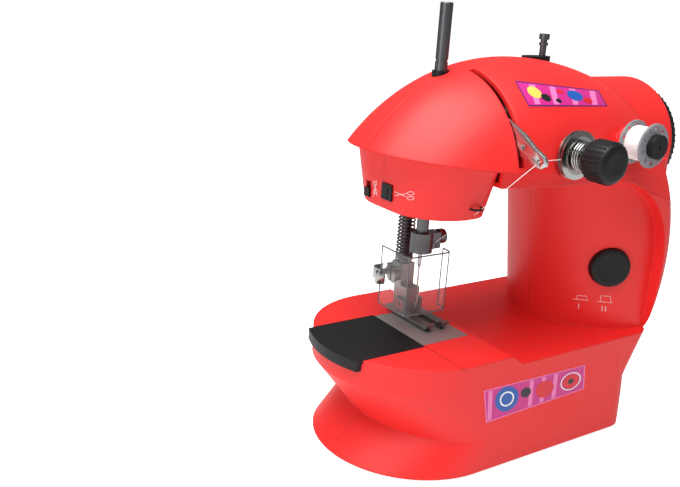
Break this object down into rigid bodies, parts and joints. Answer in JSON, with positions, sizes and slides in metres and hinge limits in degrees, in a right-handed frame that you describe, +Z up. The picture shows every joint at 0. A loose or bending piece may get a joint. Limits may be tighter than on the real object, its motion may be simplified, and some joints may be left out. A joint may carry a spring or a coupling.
{
  "type": "toy sewing machine",
  "caption": "Red C-shaped battery toy sewing machine with domed head, round column, hand wheel, thread tension, bobbin and needle unit over a D-shaped bed.",
  "frame": {"origin": "on the table under the middle of the base, in the joint plane of the two housings, on the middle rubber foot", "axes": "+X towards the hand wheel, -Y towards the person sewing, +Z up"},
  "size_m": [0.192, 0.12, 0.2087],
  "materials": {
    "red_shell": "moulded red ABS",
    "black_plastic": "moulded black",
    "steel": "brushed",
    "chrome": "polished",
    "clear_plastic": "clear",
    "bobbin_plastic": "clear to milky",
    "rubber": "soft",
    "brass": "plain",
    "thread": "wound white thread",
    "nylon": "natural nylon",
    "cell_skin": "printed sleeve, plain"
  },
  "bodies": {
    "housing": {"front_housing": "red_shell", "rear_housing": "red_shell", "base_cover": "red_shell", "battery_cover": "red_shell", "battery_cells": "cell_skin", "rubber_feet": "rubber", "housing_screws": "steel", "needle_plate": "steel", "hook_frame": "steel", "bobbin_case": "nylon", "timing_belt": "black_plastic", "motor_belt": "black_plastic", "motor_can": "steel", "shaft_bushes": "brass", "head_frame": "steel", "bar_guide": "nylon", "tension_stud": "chrome", "tension_discs": "chrome", "tension_spring": "chrome", "bobbin_spindle": "steel", "bobbin_cap": "black_plastic", "spool_pin_sleeve": "black_plastic", "short_pin_base": "black_plastic", "switch_frame": "black_plastic", "sockets": "black_plastic", "lamp": "clear_plastic", "thread_cutter": "black_plastic", "thread_guide": "black_plastic"},
    "main_drive": {"main_shaft": "steel", "upper_pulleys": "nylon", "hand_wheel": "black_plastic"},
    "lower_drive": {"lower_shaft": "steel"},
    "hook": {"rotary_hook": "steel"},
    "motor_rotor": {"motor_pulley": "steel"},
    "needle_unit": {"needle_bar": "steel", "needle_clamp": "chrome", "needle": "chrome"},
    "clamp_screw": {"clamp_screw": "chrome"},
    "take_up": {"take_up_lever": "chrome"},
    "presser_unit": {"presser_bar": "steel", "presser_spring": "chrome", "foot_holder": "steel", "foot_screw": "chrome", "foot_pin": "steel", "finger_guard": "clear_plastic", "guard_bracket": "steel"},
    "foot": {"presser_foot": "chrome"},
    "lifter": {"presser_lifter": "steel"},
    "tension_knob": {"tension_knob": "black_plastic"},
    "thread_bobbin": {"spool_bobbin": "bobbin_plastic", "thread_core": "thread"},
    "lower_bobbin": {"lower_bobbin": "bobbin_plastic"},
    "spool_pin": {"spool_pin": "black_plastic"},
    "short_pin": {"short_pin": "chrome"},
    "speed_button": {"speed_button": "black_plastic"},
    "power_switch": {"power_switch": "black_plastic"},
    "lamp_switch": {"lamp_switch": "black_plastic"},
    "slide_cover": {"slide_cover": "black_plastic"},
    "feed_dog": {"feed_dog": "steel"}
  },
  "joints": [
    {"name": "hand_wheel_spin", "type": "hinge", "parent": "housing", "child": "main_drive", "pos_m": [0.1, 0, 0.143], "axis": [1, 0, 0], "continuous": true},
    {"name": "lower_shaft_spin", "type": "hinge", "parent": "housing", "child": "lower_drive", "pos_m": [0.02, 0, 0.027], "axis": [1, 0, 0], "continuous": true},
    {"name": "hook_spin", "type": "hinge", "parent": "housing", "child": "hook", "pos_m": [-0.0425, 0, 0.04], "axis": [0, 0, 1], "continuous": true},
    {"name": "motor_spin", "type": "hinge", "parent": "housing", "child": "motor_rotor", "pos_m": [0.07, 0, 0.084], "axis": [1, 0, 0], "continuous": true},
    {"name": "needle_slide", "type": "slide", "parent": "housing", "child": "needle_unit", "axis": [0, 0, 1], "range_m": [-0.006, 0.015]},
    {"name": "clamp_screw_turn", "type": "hinge", "parent": "needle_unit", "child": "clamp_screw", "pos_m": [-0.012, 0.0095, 0.0975], "axis": [1, 0, 0], "range_deg": [-360, 360]},
    {"name": "take_up_swing", "type": "hinge", "parent": "housing", "child": "take_up", "pos_m": [-0.016, -0.02, 0.163], "axis": [-1, 0, 0], "range_deg": [-6, 14.5]},
    {"name": "lifter_swing", "type": "hinge", "parent": "housing", "child": "lifter", "pos_m": [-0.03, 0.026, 0.14], "axis": [1, 0, 0], "range_deg": [0, 56]},
    {"name": "presser_slide", "type": "slide", "parent": "housing", "child": "presser_unit", "axis": [0, 0, 1], "range_m": [0, 0.006], "deforming": ["presser_spring"]},
    {"name": "foot_tilt", "type": "hinge", "parent": "presser_unit", "child": "foot", "pos_m": [-0.022, 0.0155, 0.0624], "axis": [1, 0, 0], "range_deg": [-5, 0]},
    {"name": "tension_turn", "type": "hinge", "parent": "housing", "child": "tension_knob", "pos_m": [0.0123, -0.062, 0.1486], "axis": [0, -1, 0], "range_deg": [-360, 360]},
    {"name": "thread_bobbin_spin", "type": "hinge", "parent": "housing", "child": "thread_bobbin", "pos_m": [0.0506, -0.053, 0.1523], "axis": [0, 1, 0], "continuous": true},
    {"name": "lower_bobbin_spin", "type": "hinge", "parent": "housing", "child": "lower_bobbin", "pos_m": [-0.0425, 0, 0.047], "axis": [0, 0, 1], "continuous": true},
    {"name": "spool_pin_slide", "type": "slide", "parent": "housing", "child": "spool_pin", "axis": [0, 0, 1], "range_m": [-0.01, 0]},
    {"name": "short_pin_slide", "type": "slide", "parent": "housing", "child": "short_pin", "axis": [0, 0, 1], "range_m": [-0.005, 0]},
    {"name": "speed_button_press", "type": "slide", "parent": "housing", "child": "speed_button", "axis": [0.5105, 0.8599, 0], "range_m": [0, 0.0025], "stiffness_N_per_m": 400},
    {"name": "power_switch_rock", "type": "hinge", "parent": "housing", "child": "power_switch", "pos_m": [0.098, -0.03, 0.1075], "axis": [0, -1, 0], "range_deg": [0, 12]},
    {"name": "lamp_switch_slide", "type": "slide", "parent": "housing", "child": "lamp_switch", "axis": [0, 0, 1], "range_m": [0, 0.003]},
    {"name": "slide_cover_slide", "type": "slide", "parent": "housing", "child": "slide_cover", "axis": [-1, 0, 0], "range_m": [0, 0.04]},
    {"name": "feed_slide", "type": "slide", "parent": "housing", "child": "feed_dog", "axis": [0, 1, 0], "range_m": [-0.0015, 0.0015]}
  ],
  "couplings": [
    {"joint": "lower_shaft_spin", "follows": "hand_wheel_spin", "ratio": 2},
    {"joint": "hook_spin", "follows": "hand_wheel_spin", "ratio": -2},
    {"joint": "motor_spin", "follows": "hand_wheel_spin", "ratio": 4},
    {"joint": "take_up_swing", "follows": "needle_slide", "rad_per_m": 16},
    {"joint": "lifter_swing", "follows": "presser_slide", "rad_per_m": 160}
  ]
}
